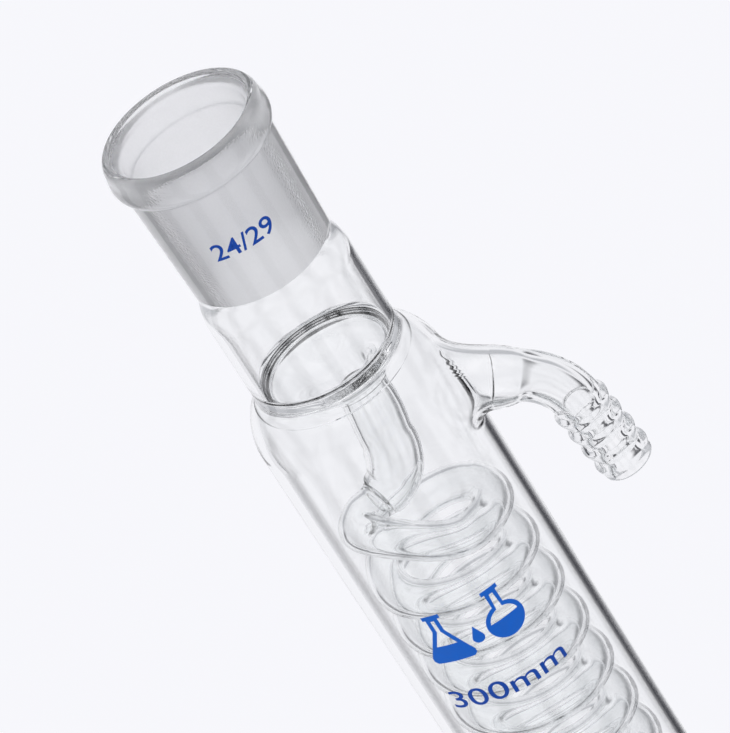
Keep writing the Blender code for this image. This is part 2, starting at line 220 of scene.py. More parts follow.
class GlasswareFinish(bpy.types.PropertyGroup):
    """Colours and surfaces of the glass and of the enamel fired on it."""

    glass_tint: colour(
        "Glass tint", "Colour of light that has passed through the clear glass",
        (0.985, 0.99, 0.99),
    )
    ground_tint: colour(
        "Ground tint", "Colour of the fine-ground faces of the joints",
        (0.985, 0.985, 0.995),
    )
    ground_roughness: FloatProperty(
        name="Ground roughness",
        description="How matt the ground faces are",
        default=0.42,
        min=0.2,
        max=1.0,
        subtype="FACTOR",
    )
    mark_blue: colour("Emblem enamel", "Bright blue enamel of the emblem", (0.0, 0.135, 0.66))
    number_blue: colour("Number enamel", "Deeper blue enamel of the numbers", (0.0, 0.066, 0.43))


class StudioSettings(bpy.types.PropertyGroup):
    """Floor, light and camera round the glass."""

    floor_colour: colour(
        "Floor colour", "Pale colour of the floor under and behind the glass",
        (0.905, 0.905, 0.94),
    )
    dark_cards: FloatProperty(
        name="Dark cards",
        description="How dark the cards beside the set are, which draw the edges of the glass",
        default=0.94,
        min=0.0,
        max=1.0,
        subtype="FACTOR",
    )
    camera_distance: length(
        "Camera distance", "From the camera to the point it looks at",
        0.965, 0.3, 3.0,
    )
    camera_lens: FloatProperty(
        name="Lens",
        description="Focal length for a sensor 36 mm wide",
        default=270.0,
        min=50.0,
        max=400.0,
        subtype="DISTANCE_CAMERA",
    )


# Outlines and routes -----------------------------------------------------------------------


def line(start, end, spacing):
    """Points from start to end, both included, no further apart than spacing."""
    a = Vector(start)
    b = Vector(end)
    count = max(1, math.ceil((b - a).length / spacing))
    return [tuple(a.lerp(b, step / count)) for step in range(count + 1)]


def arc(centre, radii, start, end, count):
    """Points of an ellipse's arc; angles in degrees, 0 towards +X and 90 towards +Z."""
    points = []
    for step in range(count + 1):
        angle = math.radians(start + (end - start) * step / count)
        points.append((centre[0] + radii[0] * math.cos(angle), centre[1] + radii[1] * math.sin(angle)))
    return points


def eased(a, leaving, b, arriving, count):
    """A curve from a to b that leaves and arrives in the given directions."""
    a, b = Vector(a), Vector(b)
    pull = (b - a).length
    out = Vector(leaving).normalized() * pull
    into = Vector(arriving).normalized() * pull
    points = []
    for step in range(count + 1):
        t = step / count
        start = 2 * t**3 - 3 * t**2 + 1
        end = 3 * t**2 - 2 * t**3
        points.append(a * start + out * (t**3 - 2 * t**2 + t) + b * end + into * (t**3 - t**2))
    return [tuple(point) for point in points]


def through(keys, per_span):
    """A Catmull-Rom curve through the inner keys; the first and last only set its direction."""
    keys = [Vector(key) for key in keys]
    points = []
    for a, b, c, d in zip(keys, keys[1:], keys[2:], keys[3:]):
        for step in range(per_span):
            t = step / per_span
            square = (2 * a - 5 * b + 4 * c - d) * t * t
            cube = (3 * b - a - 3 * c + d) * t * t * t
            points.append(0.5 * (2 * b + (c - a) * t + square + cube))
    points.append(keys[-2])
    return points


def along(keys, per_span):
    """The same curve through all the keys of a flat outline."""
    first = Vector(keys[0]) * 2 - Vector(keys[1])
    last = Vector(keys[-1]) * 2 - Vector(keys[-2])
    return [tuple(point) for point in through([first] + list(keys) + [last], per_span)]


def without_repeats(points):
    """Drops a point that repeats the one before it."""
    kept = [points[0]]
    for point in points[1:]:
        if (Vector(point) - Vector(kept[-1])).length > 1e-4:
            kept.append(point)
    return kept


def smooth_share(share):
    share = min(1.0, max(0.0, share))
    return share * share * (3 - 2 * share)


# Meshes ------------------------------------------------------------------------------------


def volume_of(mesh):
    shape = bmesh.new()
    shape.from_mesh(mesh)
    volume = shape.calc_volume(signed=True)
    shape.free()
    return volume


def place(name, mesh, materials, node, sharp=38.0):
    """Puts a finished mesh in the scene as the piece that stands for a node."""
    for material in materials:
        mesh.materials.append(material)
    mesh.validate()
    if volume_of(mesh) <= 0:
        raise RuntimeError(name + " is inside out")
    mesh.shade_smooth()
    mesh.set_sharp_from_angle(angle=math.radians(sharp))
    piece = bpy.data.objects.new(name, mesh)
    bpy.context.scene.collection.objects.link(piece)
    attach(piece, "root")
    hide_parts(node)
    return piece


def turned(name, runs, base, upright=True):
    """Turns runs of (radius, z) round the axis. Down the outside and up the inside, each run is
    bare surface, and the flat ring from one run to the next is a fused end with slot 1."""
    outline = []
    ends = set()
    for run in runs:
        outline += without_repeats(run)
        ends.add(len(outline) - 1)
    if (Vector(outline[-1]) - Vector(outline[0])).length < SAME_PLACE:
        ends.remove(len(outline) - 1)
        outline.pop()
    count = len(outline)
    vertices = []
    for step in range(FACETS):
        angle = math.tau * step / FACETS
        across, along_y = math.cos(angle) * MM, math.sin(angle) * MM
        vertices += [(radius * across, radius * along_y, z * MM) for radius, z in outline]
    faces = []
    slots = []
    for step in range(FACETS):
        here = step * count
        there = (step + 1) % FACETS * count
        for index in range(count):
            after = (index + 1) % count
            faces.append((here + index, here + after, there + after, there + index))
            slots.append(1 if index in ends else 0)
    mesh = bpy.data.meshes.new(name)
    mesh.from_pydata(vertices, [], faces)
    mesh.polygons.foreach_set("material_index", slots)
    if not upright:
        mesh.transform(Matrix.Rotation(math.pi, 4, "Y"))
    mesh.transform(Matrix.Translation((0, 0, base * MM)))
    return mesh


def paint(mesh, slot, rule):
    """Gives a material slot to the faces whose centre, in millimetres, and normal fit a rule."""
    for face in mesh.polygons:
        if face.material_index == 0 and rule(face.center / MM, face.normal):
            face.material_index = slot


def tube_tree():
    """Geometry nodes that draw a hollow tube along a route, each point with its own radii."""
    tree = bpy.data.node_groups.new("drawn_tube", "GeometryNodeTree")
    face = tree.interface
    face.new_socket(name="Route", in_out="INPUT", socket_type="NodeSocketGeometry")
    face.new_socket(name="Sides", in_out="INPUT", socket_type="NodeSocketInt")
    face.new_socket(name="Glass", in_out="INPUT", socket_type="NodeSocketMaterial")
    face.new_socket(name="Tube", in_out="OUTPUT", socket_type="NodeSocketGeometry")
    nodes = tree.nodes
    link = tree.links.new
    given = nodes.new("NodeGroupInput")
    made = nodes.new("NodeGroupOutput")
    curve = nodes.new("GeometryNodeMeshToCurve")
    ring = nodes.new("GeometryNodeCurvePrimitiveCircle")
    ring.inputs["Radius"].default_value = 1.0
    both = nodes.new("GeometryNodeJoinGeometry")
    realize = nodes.new("GeometryNodeRealizeInstances")
    finish = nodes.new("GeometryNodeSetMaterial")
    link(given.outputs["Route"], curve.inputs["Mesh"])
    link(given.outputs["Sides"], ring.inputs["Resolution"])
    for radius in ("bore", "outer"):
        reach = nodes.new("GeometryNodeInputNamedAttribute")
        reach.data_type = "FLOAT"
        reach.inputs["Name"].default_value = radius
        sweep = nodes.new("GeometryNodeCurveToMesh")
        link(curve.outputs["Curve"], sweep.inputs["Curve"])
        link(ring.outputs["Curve"], sweep.inputs["Profile Curve"])
        link(reach.outputs["Attribute"], sweep.inputs["Scale"])
        if radius == "bore":
            flip = nodes.new("GeometryNodeFlipFaces")
            link(sweep.outputs["Mesh"], flip.inputs["Mesh"])
            link(flip.outputs["Mesh"], both.inputs["Geometry"])
        else:
            link(sweep.outputs["Mesh"], both.inputs["Geometry"])
    link(both.outputs["Geometry"], realize.inputs["Geometry"])
    link(realize.outputs["Geometry"], finish.inputs["Geometry"])
    link(given.outputs["Glass"], finish.inputs["Material"])
    link(finish.outputs["Geometry"], made.inputs["Tube"])
    return tree


def drawn_tube(name, stations, sides, glass, fused=(True, True)):
    """A hollow tube along stations of (place, outer radius, bore radius), closed at both ends."""
    route = bpy.data.meshes.new(name + "_route")
    places = [Vector(station[0]) * MM for station in stations]
    route.from_pydata(places, [(index, index + 1) for index in range(len(places) - 1)], [])
    for column, label in ((1, "outer"), (2, "bore")):
        radii = route.attributes.new(label, "FLOAT", "POINT")
        radii.data.foreach_set("value", [station[column] * MM for station in stations])
    holder = bpy.data.objects.new(name + "_route", route)
    bpy.context.scene.collection.objects.link(holder)
    modifier = holder.modifiers.new("drawn_tube", "NODES")
    modifier.node_group = bpy.data.node_groups.get("drawn_tube") or tube_tree()
    sockets = {item.name: item.identifier for item in modifier.node_group.interface.items_tree}
    modifier[sockets["Sides"]] = sides
    modifier[sockets["Glass"]] = glass
    graph = bpy.context.evaluated_depsgraph_get()
    mesh = bpy.data.meshes.new_from_object(holder.evaluated_get(graph))
    bpy.data.objects.remove(holder, do_unlink=True)
    close_ends(mesh, len(stations), sides, fused)
    mesh.materials.clear()
    mesh.name = name
    return mesh


def close_ends(mesh, stations, sides, fused):
    """Joins bore and outside at both ends of a drawn tube with a flat ring."""
    shape = bmesh.new()
    shape.from_mesh(mesh)
    for end, last in enumerate((0, stations - 1)):
        rim = []
        for edge in shape.edges:
            if edge.is_boundary and edge.verts[0].index // sides % stations == last:
                rim.append(edge)
        for face in bmesh.ops.bridge_loops(shape, edges=rim)["faces"]:
            face.material_index = 1 if fused[end] else 0
    if any(edge.is_boundary for edge in shape.edges):
        raise RuntimeError(mesh.name + " has an open end")
    shape.to_mesh(mesh)
    shape.free()


# Ring seals and dishes ---------------------------------------------------------------------


def shoulder_oval(end_radius):
    """Centre and radii of the oval that rounds the jacket in to a seal, measured from that seal."""
    centre = end_radius - SHOULDER_REACH
    across = JACKET_RADIUS - centre
    tall = SHOULDER_DEPTH / math.sin(math.acos(SHOULDER_REACH / across))
    return (centre, -SEAL_DEPTH - SHOULDER_DEPTH), (across, tall)


def shoulder_seam(end_radius, angle, wall):
    """Outer point, inner point and downhill direction of the jacket's end at a seal."""
    (centre, low), (across, tall) = shoulder_oval(end_radius)
    turn = math.radians(angle)
    outer = Vector((centre + across * math.cos(turn), low + tall * math.sin(turn)))
    normal = Vector((math.cos(turn) / across, math.sin(turn) / tall)).normalized()
    downhill = Vector((normal.y, -normal.x))
    return outer, outer - normal * wall, downhill


def dish_seam(rim, wall):
    """Upper point, lower point and inward direction of a dish's rim at a seal."""
    inward = Vector((-0.9, -0.32)).normalized()
    upper = Vector((rim, -0.25))
    return upper, upper + Vector((inward.y, -inward.x)) * -wall, inward


def ring_seal(end_radius, angle, tube_radius, tube_wall, rim, sizes):
    """Three fillets between tube, jacket and dish, with a fused end at each of them."""
    outer, inner, downhill = shoulder_seam(end_radius, angle, sizes.jacket_wall / MM)
    upper, lower, inward = dish_seam(rim, sizes.dish_wall / MM)
    outside = (tube_radius, SEAL_DEPTH)
    inside = (tube_radius - tube_wall, SEAL_DEPTH)
    corner = eased(outside, (0, -1), outer, downhill, 14)
    chamber = eased(inner, -downhill, lower, inward, 14)
    floor = eased(upper, -inward, inside, (0, 1), 14)
    return [corner, chamber, floor]


def dish(name, rim, height, sizes, upright=True):
    """A dished floor whose middle is drawn out into an off-centre spout."""
    wall = sizes.dish_wall / MM
    bore = LEAD_RADIUS - sizes.coil_wall / MM
    upper, lower, inward = dish_seam(rim, wall)
    top = eased(upper, inward, (5.3, -3.3), (-0.75, -0.66), 12)
    top += eased((5.3, -3.3), (-0.75, -0.66), (bore, -DISH_DEPTH), (0, -1), 12)[1:]
    throat = (5.3 + wall * 0.66, -3.3 - wall * 0.75)
    under = eased((LEAD_RADIUS, -DISH_DEPTH), (0, 1), throat, (0.75, 0.66), 12)
    under += eased(throat, (0.75, 0.66), lower, -inward, 12)[1:]
    mesh = turned(name, [top[::-1], under[::-1]], 0.0)
    for vertex in mesh.vertices:
        lean = SPOUT_LEAN * MM * smooth_share(-vertex.co.z / (DISH_DEPTH * MM))
        vertex.co.x += lean * math.cos(LEAN_AZIMUTH)
        vertex.co.y += lean * math.sin(LEAN_AZIMUTH)
    if not upright:
        mesh.transform(Matrix.Rotation(math.pi, 4, "Y"))
    mesh.transform(Matrix.Translation((0, 0, height * MM)))
    return mesh


# Water jacket ------------------------------------------------------------------------------


def jacket_outline():
    """Outside of the jacket from the upper seal to the lower, (radius, z) about 0.6 mm apart at
    both ends, where the nipples are drawn out, and further apart between them."""
    (centre, low), radii = shoulder_oval(UPPER_SHOULDER)
    top = arc((centre, UPPER_RING + low), radii, UPPER_SEAM_ANGLE, 0, 15)
    (centre, low), radii = shoulder_oval(LOWER_SHOULDER)
    bottom = arc((centre, LOWER_RING - low), radii, 0, -LOWER_SEAM_ANGLE, 18)
    drawn = 16.0
    upper_fine = (JACKET_RADIUS, top[-1][1] - drawn)
    nipple = LOWER_RING + LOWER_ARM_HEIGHT
    lower_fine = [(JACKET_RADIUS, nipple + drawn), (JACKET_RADIUS, nipple - drawn)]
    wall = line(top[-1], upper_fine, 0.62) + line(upper_fine, lower_fine[0], 3.0)[1:]
    wall += line(lower_fine[0], lower_fine[1], 0.62)[1:] + line(lower_fine[1], bottom[0], 1.5)[1:]
    return top + wall[1:] + bottom[1:]


def reaches(outline):
    """How far along the outline each of its points lies."""
    gone = [0.0]
    for a, b in zip(outline, outline[1:]):
        gone.append(gone[-1] + (Vector(b) - Vector(a)).length)
    return gone


def on_jacket(outline, gone, azimuth, reach):
    """The point of the jacket's outside at an azimuth and a distance along the outline."""
    index = 0
    while index < len(gone) - 2 and gone[index + 1] < reach:
        index += 1
    share = (reach - gone[index]) / (gone[index + 1] - gone[index])
    radius, z = Vector(outline[index]).lerp(Vector(outline[index + 1]), share)
    return Vector((radius * math.cos(azimuth), radius * math.sin(azimuth), z))


def nipple_frame(height, azimuth):
    """End centre, axis, sideways and upward directions of a nipple."""
    turn = Matrix.Rotation(azimuth, 3, "Z")
    drop = NIPPLE_DROP + (NIPPLE_END - JACKET_RADIUS) * math.tan(NIPPLE_SLOPE)
    centre = turn @ Vector((NIPPLE_END, 0, -drop)) + Vector((0, 0, height))
    axis = turn @ Vector((math.cos(NIPPLE_SLOPE), 0, -math.sin(NIPPLE_SLOPE)))
    sideways = turn @ Vector((0, 1, 0))
    return centre, axis, sideways, sideways.cross(axis) * -1


def arm_places():
    """Node, height of the reference ring and azimuth of each hose arm."""
    lower = LOWER_RING + LOWER_ARM_HEIGHT + NIPPLE_DROP
    return (("upper_hose_arm", UPPER_RING, 0.0), ("lower_hose_arm", lower, math.pi))


def drawn_nipple(shape, columns, rows, grid, outline, gone, height, azimuth):
    """Fills the opening of the jacket's grid with a patch that runs out into a round nipple.

    The patch keeps to the jacket until PATCH_REACH from its middle, and then curves over."""
    rim = [(column, rows[0]) for column in columns[:-1]]
    rim += [(columns[-1], row) for row in rows[:-1]]
    rim += [(column, rows[-1]) for column in columns[:0:-1]]
    rim += [(columns[0], row) for row in rows[:0:-1]]
    middle_row = (gone[rows[0]] + gone[rows[-1]]) / 2
    level = height - NIPPLE_DROP
    middle = min(gone, key=lambda reach: abs(on_jacket(outline, gone, 0, reach).z - level))
    middle = middle if abs(middle - middle_row) < 1.0 else middle_row
    centre, axis, sideways, upward = nipple_frame(height, azimuth)
    lines = []
    for column, row in rim:
        around = math.tau * column / FACETS - azimuth
        around = (around + math.pi) % math.tau - math.pi
        u = around * JACKET_RADIUS
        v = middle - gone[row]
        turn = math.atan2(v, u)
        line_of = [grid[(column % FACETS, row)]]
        flat = math.hypot(u, v)

        def surface(reach):
            spot = azimuth + reach * math.cos(turn) / JACKET_RADIUS
            return on_jacket(outline, gone, spot, middle - reach * math.sin(turn))

        for step in range(1, 4):
            reach = flat + (PATCH_REACH - flat) * step / 3
            line_of.append(shape.verts.new(surface(reach) * MM))
        start = surface(PATCH_REACH)
        leaving = surface(PATCH_REACH - 0.4) - start
        out = sideways * math.cos(turn) + upward * math.sin(turn)
        end = centre + out * NIPPLE_RADIUS
        for curved in eased(start, leaving, end, axis - out * 0.08, 14)[1:]:
            line_of.append(shape.verts.new(Vector(curved) * MM))
        lines.append(line_of)
    for here, there in zip(lines, lines[1:] + lines[:1]):
        for index in range(len(here) - 1):
            shape.faces.new((here[index], here[index + 1], there[index + 1], there[index]))


def water_jacket(sizes, materials):
    """The outer tube with its shoulders and nipples, given its wall inwards."""
    outline = jacket_outline()
    gone = reaches(outline)
    shape = bmesh.new()
    openings = []
    for _, height, azimuth in arm_places():
        level = height - NIPPLE_DROP
        nearest = min(range(len(outline)), key=lambda row: abs(outline[row][1] - level))
        rows = list(range(nearest - PATCH_SPANS // 2, nearest + PATCH_SPANS // 2 + 1))
        middle = round(azimuth / math.tau * FACETS)
        columns = list(range(middle - PATCH_SPANS // 2, middle + PATCH_SPANS // 2 + 1))
        openings.append((columns, rows, height, azimuth))
    hidden = set()
    for columns, rows, height, azimuth in openings:
        hidden |= {(column % FACETS, row) for column in columns[1:-1] for row in rows[1:-1]}
    grid = {}
    for column in range(FACETS):
        angle = math.tau * column / FACETS
        for row, (radius, z) in enumerate(outline):
            if (column, row) not in hidden:
                spot = Vector((radius * math.cos(angle), radius * math.sin(angle), z))
                grid[(column, row)] = shape.verts.new(spot * MM)
    skipped = set()
    for columns, rows, height, azimuth in openings:
        skipped |= {(column % FACETS, row) for column in columns[:-1] for row in rows[:-1]}
    for column in range(FACETS):
        beside = (column + 1) % FACETS
        for row in range(len(outline) - 1):
            if (column, row) not in skipped:
                corners = ((column, row), (column, row + 1), (beside, row + 1), (beside, row))
                shape.faces.new([grid[corner] for corner in corners])
    for columns, rows, height, azimuth in openings:
        drawn_nipple(shape, columns, rows, grid, outline, gone, height, azimuth)
    bmesh.ops.recalc_face_normals(shape, faces=shape.faces)
    mesh = bpy.data.meshes.new("water_jacket_skin")
    shape.to_mesh(mesh)
    shape.free()
    skin = bpy.data.objects.new("water_jacket_skin", mesh)
    bpy.context.scene.collection.objects.link(skin)
    wall = skin.modifiers.new("wall", "SOLIDIFY")
    wall.thickness = sizes.jacket_wall
    wall.offset = -1.0
    wall.use_rim = True
    wall.material_offset_rim = 1
    for material in materials:
        mesh.materials.append(material)
    graph = bpy.context.evaluated_depsgraph_get()
    solid = bpy.data.meshes.new_from_object(skin.evaluated_get(graph))
    bpy.data.objects.remove(skin, do_unlink=True)
    solid.materials.clear()
    return place("water_jacket_glass", solid, materials, "water_jacket")


# Joints, neck, stem and tip ----------------------------------------------------------------


def socket_mesh():
    """Ground socket: a rolled lip that swells to a soft collar, over a wall ground inside."""
    top = TOP - SOCKET_BASE
    collar = top - COLLAR_HEIGHT
    lip = arc((13.85, top - 0.62), (0.62, 0.62), 180, 90, 6)
    lip += eased((13.85, top), (1, 0), (15.18, top - 1.7), (0.12, -1), 9)[1:]
    swell = eased(lip[-1], (0.12, -1), (RIM_RADIUS, top - 4.4), (0, -1), 6)[1:]
    under = eased(swell[-1], (0, -1), (14.12, collar), (-0.8, -0.6), 9)[1:]
    wall = line((14.12, collar), (SOCKET_BASE_RADIUS, 0.0), 1.6)[1:]
    ground = line((JOINT_NARROW, 0.0), (CONE_RADIUS, JOINT_LENGTH), 1.6)
    mouth = eased(ground[-1], (0.1, 1), (13.23, top - 0.62), (0.25, 1), 6)
    outside = lip + swell + under + wall
    return turned("socket_joint_glass", [outside, ground + mouth[1:]], SOCKET_BASE), top


def socket_joint(materials):
    mesh, top = socket_mesh()
    mouth = SOCKET_BASE + top - 1.1

    def is_ground(centre, normal):
        across = math.hypot(centre.x, centre.y)
        facing_in = centre.x * normal.x + centre.y * normal.y < 0
        return facing_in and centre.z < mouth and across < 13.6

    paint(mesh, 2, is_ground)
    return place("socket_joint_glass", mesh, materials, "socket_joint")


def vapour_neck(sizes, materials):
    low = SEAL_DEPTH
    high = SOCKET_BASE - UPPER_RING
    bore = NECK_RADIUS - sizes.tube_wall / MM
    outer = eased((SOCKET_BASE_RADIUS, high), (0.03, -1), (NECK_RADIUS, high - 5.5), (0, -1), 12)
    outer += line((NECK_RADIUS, high - 5.5), (NECK_RADIUS, low), 1.6)[1:]
    inner = line((bore, low), (bore, high - 6.0), 1.6)
    inner += eased((bore, high - 6.0), (0, 1), (JOINT_NARROW, high), (0.1, 1), 12)[1:]
    mesh = turned("vapour_neck_glass", [outer, inner], UPPER_RING)
    return place("vapour_neck_glass", mesh, materials, "vapour_neck")


def outlet_stem(sizes, materials):
    low = STEM_BASE
    high = LOWER_RING - SEAL_DEPTH
    bore = STEM_RADIUS - sizes.tube_wall / MM
    outer = line((STEM_RADIUS, high), (STEM_RADIUS, low + 5.0), 1.6)
    outer += eased((STEM_RADIUS, low + 5.0), (0, -1), (CONE_RADIUS, low), (0.02, -1), 12)[1:]
    inner = eased((CONE_RADIUS - 2.2, low), (0.02, 1), (bore, low + 5.0), (0, 1), 12)
    inner += line((bore, low + 5.0), (bore, high), 1.6)[1:]
    mesh = turned("outlet_stem_glass", [outer, inner], 0.0)
    return place("outlet_stem_glass", mesh, materials, "outlet_stem")


def cone_joint(materials):
    outer = line((CONE_RADIUS, STEM_BASE), (JOINT_NARROW, CONE_BASE), 1.6)
    inner = line((JOINT_NARROW - 2.2, CONE_BASE), (CONE_RADIUS - 2.2, STEM_BASE), 1.6)
    mesh = turned("cone_joint_glass", [outer, inner], 0.0)
    for face in mesh.polygons:
        outward = face.center.x * face.normal.x + face.center.y * face.normal.y > 0
        if face.material_index == 0 and outward:
            face.material_index = 2
    return place("cone_joint_glass", mesh, materials, "cone_joint")


def drip_tip(materials):
    """The cone's narrow end drawn in to a small tube that is cut off at a slant."""
    top = CONE_BASE
    drawn = top - 9.0
    outer = eased((JOINT_NARROW, top), (-0.1, -1), (TIP_RADIUS, drawn - 2.0), (0, -1), 20)
    outer += line(outer[-1], (TIP_RADIUS, 0.35), 1.2)[1:]
    rim = arc((TIP_RADIUS - 0.5, 0.35), (0.5, 0.35), 0, -90, 5)[1:]
    rim += arc((TIP_BORE + 0.4, 0.35), (0.4, 0.35), -90, -180, 5)[1:]
    inner = line((TIP_BORE, 0.35), (TIP_BORE, drawn - 1.0), 1.2)[1:]
    inner += eased((TIP_BORE, drawn - 1.0), (0, 1), (JOINT_NARROW - 2.2, top), (0.1, 1), 18)[1:]
    mesh = turned("drip_tip_glass", [outer + rim + inner], 0.0)
    slope = math.tan(TIP_SLANT)
    for vertex in mesh.vertices:
        share = smooth_share(1.0 - (vertex.co.z / MM) / (drawn - 3.0))
        vertex.co.z += (TIP_RADIUS * MM - vertex.co.x) * slope * share
    return place("drip_tip_glass", mesh, materials, "drip_tip")


# Hose arms ---------------------------------------------------------------------------------


def arm_stations(sizes):
    """Centre line of a hose arm in its own plane, with its outer and bore radius at each point."""
    bore_end = sizes.arm_bore / MM
    drop = NIPPLE_DROP + (NIPPLE_END - JACKET_RADIUS) * math.tan(NIPPLE_SLOPE)
    start = Vector((NIPPLE_END, 0, -drop))
    heading = Vector((math.cos(NIPPLE_SLOPE), 0, -math.sin(NIPPLE_SLOPE)))
    bore_start = NIPPLE_RADIUS - sizes.jacket_wall / MM
    places = [start + heading * ARM_STRAIGHT * step / 5 for step in range(5)]
    centre = start + heading * ARM_STRAIGHT
    centre += ARM_BEND * Vector((-math.sin(NIPPLE_SLOPE), 0, -math.cos(NIPPLE_SLOPE)))
    for step in range(25):
        slope = NIPPLE_SLOPE + (ARM_END_SLOPE - NIPPLE_SLOPE) * step / 24
        places.append(centre + ARM_BEND * Vector((math.sin(slope), 0, math.cos(slope))))
    stations = []
    for index, spot in enumerate(places):
        drawn = smooth_share(index / 9)
        outer = NIPPLE_RADIUS + (ARM_RADIUS - NIPPLE_RADIUS) * drawn
        bore = bore_start + (bore_end - bore_start) * smooth_share(index / 14)
        stations.append((spot, outer, bore))
    down = Vector((math.cos(ARM_END_SLOPE), 0, -math.sin(ARM_END_SLOPE)))
    steps = BARB_COUNT * 12
    for step in range(1, steps + 1):
        share = step / steps
        stations.append((places[-1] + down * BARB_LENGTH * share, *barb_radii(share, sizes)))
    return stations


def barb_radii(share, sizes):
    """Outer and bore radius along the hose barb: blunt serrations, and a wide rounded mouth."""
    tooth = share * BARB_COUNT % 1.0
    rise = smooth_share(tooth / 0.22) * (1 - smooth_share((tooth - 0.3) / 0.7))
    crest = sizes.barb_crest / MM
    last = smooth_share((share - 0.75) / 0.08)
    outer = BARB_ROOT + (crest - BARB_ROOT) * max(rise, 0.0)
    outer += (max(outer, 5.0) - outer) * last
    bore = sizes.arm_bore / MM + 0.45 * smooth_share((share - 0.72) / 0.28)
    lip = max(0.0, (share - 0.95) / 0.05)
    return outer - 0.7 * lip * lip, bore + 0.35 * lip * lip


def hose_arms(sizes, materials):
    """Bent side tubes that end in a serrated hose barb, bored from end to end."""
    pieces = []
    for node, height, azimuth in arm_places():
        mesh = drawn_tube(node + "_glass", arm_stations(sizes), 64, materials[0], (True, False))
        mesh.transform(Matrix.Translation((0, 0, height * MM)) @ Matrix.Rotation(azimuth, 4, "Z"))
        pieces.append(place(node + "_glass", mesh, materials, node))
    return pieces


# Coil --------------------------------------------------------------------------------------


def helix_place(angle, sizes):
    """Centre of the coil's tube, at degrees round +Z."""
    turned_by = angle - COIL_START
    left = COIL_START + COIL_SWEEP - angle
    lift = COIL_LIFT * (1 - smooth_share(turned_by / COIL_EASE))
    lift -= COIL_LIFT * (1 - smooth_share(left / COIL_EASE))
    around = math.radians(angle)
    radius = sizes.coil_radius / MM
    z = UPPER_RING - COIL_DROP - sizes.coil_pitch / MM * turned_by / 360 + lift
    return Vector((radius * math.cos(around), radius * math.sin(around), z))


def helix_route(sizes):
    steps = round(COIL_SWEEP / COIL_STEP)
    return [helix_place(COIL_START + COIL_SWEEP * step / steps, sizes) for step in range(steps + 1)]


def lead_keys():
    """From the spout to the seam, then the coil's bend: sideways, back and down from the ring."""
    turn = Matrix.Rotation(LEAN_AZIMUTH, 3, "Z")
    lead = [(2.3, 0.0, -5.0), (2.3, 0.0, -DISH_DEPTH), (2.4, 0.0, -13.5), (1.9, 0.0, -19.0)]
    lead += [(1.2, 0.1, -24.0), (-0.8, 0.3, -28.4), (-3.6, 0.4, -30.6), (-6.2, 0.0, -31.3)]
    bend = [(-9.7, -1.8, -31.0), (-11.2, -4.9, -31.2)]
    return [turn @ Vector(key) for key in lead], [turn @ Vector(key) for key in bend]


def turned_over(key, sizes):
    """A key of the upper lead brought to the lower end, where the lead is a little shorter."""
    reach = UPPER_RING - helix_place(COIL_START, sizes).z
    room = helix_place(COIL_START + COIL_SWEEP, sizes).z - LOWER_RING
    depth = DISH_DEPTH + (-key.z - DISH_DEPTH) * (room - DISH_DEPTH) / (reach - DISH_DEPTH)
    return Vector((-key.x, key.y, LOWER_RING + depth))


def uneven(spot, amount):
    """How much a hand-drawn tube is thicker or thinner at a place, as a factor near 1."""
    return 1.0 + amount * noise.noise(spot * 0.21)


def lead_tube(node, lead, bend, sizes, materials):
    """The tube from a spout to the seam, drawn down to the coil's size on the way."""
    heading = (bend[0] - lead[-2]).normalized()
    keys = lead[:-1] + [lead[-1] - heading * SEAM_STRAIGHT, lead[-1], lead[-1] + heading * 0.5]
    route = through(keys, 9)
    stations = []
    for step, spot in enumerate(route):
        drawn = smooth_share(2.0 * step / (len(route) - 1) - 1.0)
        outer = LEAD_RADIUS + (sizes.coil_tube / MM - LEAD_RADIUS) * drawn
        outer += LEAD_SWELL * smooth_share(step / 14) * smooth_share((len(route) - step) / 20)
        wavy = uneven(spot, 0.05 * smooth_share(step / 12) * smooth_share((len(route) - step) / 12))
        stations.append((spot, outer * wavy, outer * wavy - sizes.coil_wall / MM))
    mesh = drawn_tube(node + "_glass", stations, 48, materials[0])
    return place(node + "_glass", mesh, materials, node)


def coil_end(lead, bend, first, second):
    """The coil's tube from the seam up to, but not including, the helix's first place."""
    seam = lead[-1]
    heading = (bend[0] - lead[-2]).normalized()
    keys = [seam - heading * 0.5, seam, seam + heading * SEAM_STRAIGHT] + bend + [first, second]
    return through(keys, 8)[:-1]


def coil(upper, lower, sizes, materials):
    """Twenty-one turns of tube and the bends that bring it in to both seams."""
    turns = helix_route(sizes)
    route = coil_end(*upper, turns[0], turns[1]) + turns
    route += coil_end(*lower, turns[-1], turns[-2])[::-1]
    tube = sizes.coil_tube / MM
    wall = sizes.coil_wall / MM
    stations = []
    for step, spot in enumerate(route):
        inside = smooth_share(step / 20) * smooth_share((len(route) - step) / 20)
        outer = tube * uneven(spot, 0.012 * inside)
        stations.append((spot, outer, outer - wall))
    mesh = drawn_tube("coil_glass", stations, sizes.tube_sides, materials[0])
    return place("coil_glass", mesh, materials, "coil")


# Enamel ------------------------------------------------------------------------------------


def face_outwards(shape):
    """Turns each separate solid of a triangulated shape so that its faces point outwards."""
    bmesh.ops.recalc_face_normals(shape, faces=shape.faces)
    for face in shape.faces:
        face.tag = False
    for first in list(shape.faces):
        if first.tag:
            continue
        first.tag = True
        solid = [first]
        volume = 0.0
        for face in solid:
            a, b, c = (vertex.co for vertex in face.verts)
            volume += a.dot(b.cross(c))
            for other in (near for edge in face.edges for near in edge.link_faces if not near.tag):
                other.tag = True
                solid.append(other)
        if volume < 0:
            bmesh.ops.reverse_faces(shape, faces=solid)


